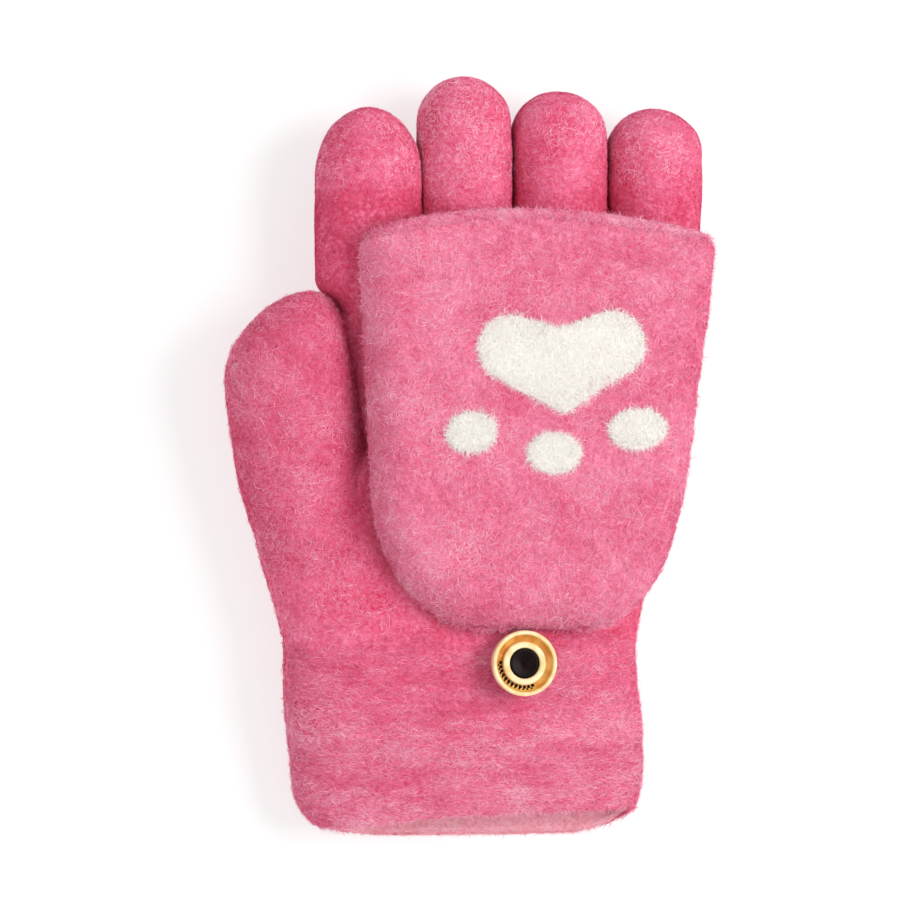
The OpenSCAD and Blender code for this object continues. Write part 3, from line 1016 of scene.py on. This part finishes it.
def heart_outline(n):
    """An upright heart: two lobes and a point towards the cuff."""
    lobe, spread, point_y = 6.6, 10.8, -13.9
    out = []
    drop = math.atan2(-point_y, spread)
    reach = math.hypot(spread, point_y)
    tangent = math.asin(lobe / reach)
    low = -(math.pi / 2 - (drop - tangent))
    high_a = math.radians(118)
    for k in range(n):
        a = mix(low, high_a, k / (n - 1))
        out.append((spread + lobe * math.cos(a), lobe * math.sin(a)))
    out.append((0.0, 3.6))
    left = [(-x, y) for x, y in reversed(out[:-1])]
    c, s = math.cos(HEART_TURN), math.sin(HEART_TURN)
    return [(x * c - y * s, x * s + y * c) for x, y in out + left + [(0.0, point_y)]]


def ellipse_outline(w, h, turn, n):
    c, s = math.cos(turn), math.sin(turn)
    turns = [2 * math.pi * k / n for k in range(n)]
    flat = [(w / 2 * math.cos(a), h / 2 * math.sin(a)) for a in turns]
    return [(x * c - y * s, x * s + y * c) for x, y in flat]


def surface_z(x, y):
    """Top of the pouch over a point in plan."""
    d = edge_distance(np.array([[x, y]]))[0]
    lift = 0.5 * math.sin(clamp01((y + 34) / 80) * math.pi)
    droop = 1.5 * clamp01((y - HINGE_Y) / 18) ** 1.6
    return FLAP_LOW_Z + (high - 0.5 + lift - droop) * float(dome(np.array([d]), FLAP_EDGE)[0])


# How far the patch's loops are drawn in, and their height over the pouch
PATCH_PROFILE = (
    (1.0, -0.4), (0.99, -0.1), (0.96, 0.14), (0.88, 0.3), (0.7, 0.4), (0.4, 0.44), (0.02, 0.46)
)


def patch(name, node, centre, flat, count, seed):
    """A soft white patch lying on the pouch, built as shrinking loops of its outline."""
    loops = []
    for shrink, up in PATCH_PROFILE:
        spots = [(centre[0] + x * shrink, centre[1] + y * shrink) for x, y in flat]
        loops.append([(x, y, surface_z(x, y) + up) for x, y in spots])
    obj = skinned(name, loops)
    obj.data.materials.append(white_skin)
    store_rest(obj)
    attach(obj, "flap_front")
    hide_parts(node)
    hair = fuzz(
        f"fuzz_{name}",
        obj,
        white_tones,
        share_of(count),
        top_patch,
        length=1.8,
        width=0.06,
        lift=0.16,
        seed=seed,
        root=-0.05,
    )
    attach(hair, "flap_front")


def top_patch(p, n):
    return np.where(n[:, 2] > 0.05, 1.0, 0.25)


patch("paw_heart", "paw_heart_patch", HEART, heart_outline(30), 21000, 71)
patch("paw_toe_left", "paw_left_patch", (-3.4, 5.3), ellipse_outline(10.2, 7.8, 0.05, 40), 4600, 72)
patch("paw_toe_middle", "paw_middle_patch", (13.5, 1.0), ellipse_outline(11.0, 8.0, 0.0, 40), 5000, 73)
patch("paw_toe_right", "paw_right_patch", (31.0, 5.9), ellipse_outline(11.6, 7.6, 0.0, 40), 5000, 74)


# ---------------------------------------------------------------- the button
LATHE_N = 144


def lathe(name, profile):
    """A solid turned about the button's axis from a closed profile of (radius, height)."""
    x, y, z = BUTTON
    turns = [2 * math.pi * i / LATHE_N for i in range(LATHE_N)]
    rings = [[(x + r * math.cos(a), y + r * math.sin(a), z + h) for a in turns] for r, h in profile]
    return skinned(name, rings, closed=True)


def arc(cx, cz, r, a0, a1, n):
    turns = [math.radians(a) for a in steps(a0, a1, n)]
    return [(cx + r * math.cos(a), cz + r * math.sin(a)) for a in turns]


rim_profile = (
    [(2.2, 0.05), (5.4, 0.0)]
    + arc(5.5, 1.1, 1.15, -80, 0, 7)
    + [(6.68, 2.35)]
    + arc(6.24, 2.6, 0.44, 0, 150, 12)
    + [(5.62, 1.95), (5.1, 1.68), (4.4, 1.6), (2.2, 1.4)]
)
rim = lathe("button_rim_resin", rim_profile)
rim.data.materials.append(cream_resin)
rim.data.materials.append(amber_resin)
groove = [i for i, p in enumerate(rim_profile) if p[0] < 5.8 and p[1] > 1.0]
for face in rim.data.polygons:
    if face.index // LATHE_N in range(min(groove) - 1, len(rim_profile)):
        face.material_index = 1
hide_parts("button_rim")
ring_profile = (
    [(3.12, 1.3), (4.5, 1.45)] + arc(4.0, 2.3, 0.42, 0, 100, 8) + arc(3.5, 2.4, 0.38, 90, 180, 8)
)
inner_ring = lathe("button_ring_resin", ring_profile)
inner_ring.data.materials.append(cream_resin)
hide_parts("button_ring")
core_profile = [
    (0.02, 1.55), (1.2, 1.55), (2.1, 1.4), (3.12, 1.45),
    (3.1, 2.2), (2.7, 2.3), (2.2, 2.2), (1.6, 2.05), (0.02, 2.0),
]
core = lathe("button_core_resin", core_profile)
core.data.materials.append(dark_resin)
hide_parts("button_core")
for part in (rim, inner_ring, core):
    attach(part, "button")


def dots(name, radius, start, end, count, size):
    """A row of small raised dots along an arc of the groove, a generic ornament."""
    points, faces = [], []
    for k in range(count):
        a = math.radians(mix(start, end, k / (count - 1)))
        cx, cy, cz = BUTTON[0] + radius * math.cos(a), BUTTON[1] + radius * math.sin(a), BUTTON[2] + 1.72
        base = len(points)
        for level, (r, h) in enumerate(((1.0, -0.3), (0.95, 0.0), (0.6, 0.12), (0.05, 0.16))):
            turns = [math.pi * i / 6 for i in range(12)]
            points += [(cx + size * r * math.cos(t), cy + size * r * math.sin(t), cz + h) for t in turns]
            if level:
                low_ring = base + (level - 1) * 12
                faces += [
                    (low_ring + i, low_ring + (i + 1) % 12, low_ring + 12 + (i + 1) % 12, low_ring + 12 + i)
                    for i in range(12)
                ]
        faces += [tuple(base + 11 - i for i in range(12)), tuple(base + 36 + i for i in range(12))]
    obj = new_mesh(name, points, faces)
    obj.data.materials.append(dark_resin)
    return obj


for row, (radius, first, last, count) in enumerate(((4.86, 178, 292, 12), (5.44, 183, 287, 12))):
    ornament = dots(f"button_dots_{row + 1}", radius, first, last, count, 0.36)
    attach(ornament, "button")

# The small parts under the flap and the button keep their built shapes
for node, mat in (("button_shank", thread_mat), ("elastic_loop", elastic_mat), ("loop_tab", elastic_mat)):
    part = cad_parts[node]
    part.data.materials.clear()
    part.data.materials.append(mat)

# ---------------------------------------------------------------- floor, light and camera
FLOOR, FLOOR_Z = 900, -0.6
corners = ((-FLOOR, -FLOOR), (FLOOR, -FLOOR), (FLOOR, FLOOR), (-FLOOR, FLOOR))
floor = new_mesh("floor", [(x, y, FLOOR_Z) for x, y in corners], [(0, 1, 2, 3)])
floor_mat = principled("floor_white", (0.4, 0.4, 0.4), 0.9, shine=0.1)
floor_shader = floor_mat.node_tree.nodes["Principled BSDF"]
floor_shader.inputs["Emission Color"].default_value = (1, 1, 1, 1)
floor_shader.inputs["Emission Strength"].default_value = 0.62
floor.data.materials.append(floor_mat)

world = bpy.data.worlds.new("studio")
bpy.context.scene.world = world
world.use_nodes = True
world.node_tree.nodes["Background"].inputs["Color"].default_value = (1.0, 0.99, 0.98, 1)
world.node_tree.nodes["Background"].inputs["Strength"].default_value = 0.53


def area_light(name, place, size, watts, colour=(1, 1, 1)):
    """A square light at a place in metres, aimed at the mitten."""
    data = bpy.data.lights.new(name, "AREA")
    data.energy = watts
    data.size = size
    data.color = colour
    obj = bpy.data.objects.new(name, data)
    bpy.context.scene.collection.objects.link(obj)
    obj.location = place
    obj.rotation_euler = (-Vector(place)).to_track_quat("-Z", "Y").to_euler()


area_light("key", (0.66, 0.14, 0.84), 0.6, 9.0, (1, 0.99, 0.98))
area_light("front", (-0.1, -0.95, 0.35), 0.6, 1.6)
area_light("left", (-0.75, 0.2, 0.7), 0.7, 2.6)

YAW = math.radians(12)  # the view leans this far from straight above, towards the thumb
DISTANCE = 1.5  # from the camera to the mitten, in metres
FIELD = 0.1836  # width of the view there, in metres
target = Vector((-4.2 * MM, 1.6 * MM, 13 * MM))
camera_data = bpy.data.cameras.new("camera")
camera_data.sensor_width = 36.0
camera_data.lens = 36.0 * DISTANCE / FIELD
camera_data.dof.use_dof = False
camera = bpy.data.objects.new("camera", camera_data)
bpy.context.scene.collection.objects.link(camera)
back = Vector((-math.sin(YAW), 0, math.cos(YAW)))
camera.location = target + back * DISTANCE
camera.rotation_mode = "XYZ"
camera.rotation_euler = (0.0, -YAW, 0.0)
bpy.context.scene.camera = camera
bpy.context.scene.view_settings.view_transform = "Standard"
bpy.context.scene.view_settings.look = "None"
